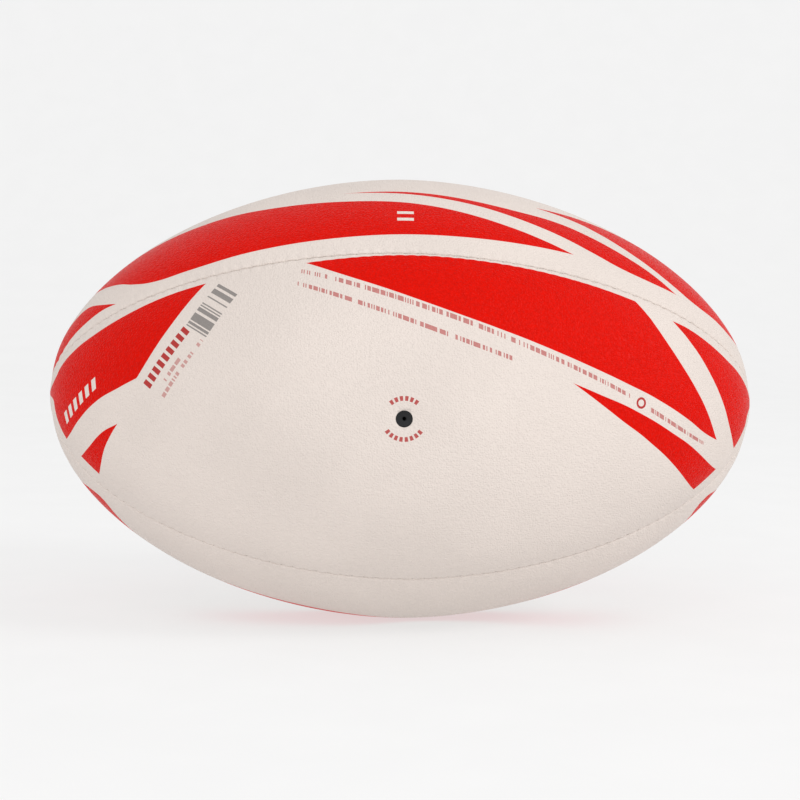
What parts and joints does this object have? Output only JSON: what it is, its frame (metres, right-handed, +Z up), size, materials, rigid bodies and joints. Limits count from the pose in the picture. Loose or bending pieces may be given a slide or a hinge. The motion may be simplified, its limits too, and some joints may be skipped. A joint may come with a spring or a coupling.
{
  "type": "rugby ball",
  "caption": "Oval stitched rugby ball with grip-rubber panels over a cloth lining, an inner bladder and a needle valve.",
  "frame": {"origin": "centre of the ball", "axes": "+X along the ball's long axis, +Z up, and the valve on -Y"},
  "size_m": [0.2798, 0.174, 0.174],
  "materials": {
    "grip_rubber": "satin pimpled",
    "lining_cloth": "woven",
    "waxed_thread": "waxed",
    "bladder_rubber": "satin",
    "valve_rubber": "satin"
  },
  "bodies": {
    "root": {"cover_front": "grip_rubber", "cover_top": "grip_rubber", "cover_back": "grip_rubber", "cover_bottom": "grip_rubber", "outer_ply_front": "lining_cloth", "middle_ply_front": "lining_cloth", "inner_ply_front": "lining_cloth", "outer_ply_top": "lining_cloth", "middle_ply_top": "lining_cloth", "inner_ply_top": "lining_cloth", "outer_ply_back": "lining_cloth", "middle_ply_back": "lining_cloth", "inner_ply_back": "lining_cloth", "outer_ply_bottom": "lining_cloth", "middle_ply_bottom": "lining_cloth", "inner_ply_bottom": "lining_cloth", "seam_thread_front_top": "waxed_thread", "seam_thread_top_back": "waxed_thread", "seam_thread_back_bottom": "waxed_thread", "seam_thread_bottom_front": "waxed_thread", "bladder": "bladder_rubber", "valve_boot": "bladder_rubber", "valve_plug": "valve_rubber", "valve_patch": "lining_cloth"}
  },
  "joints": []
}
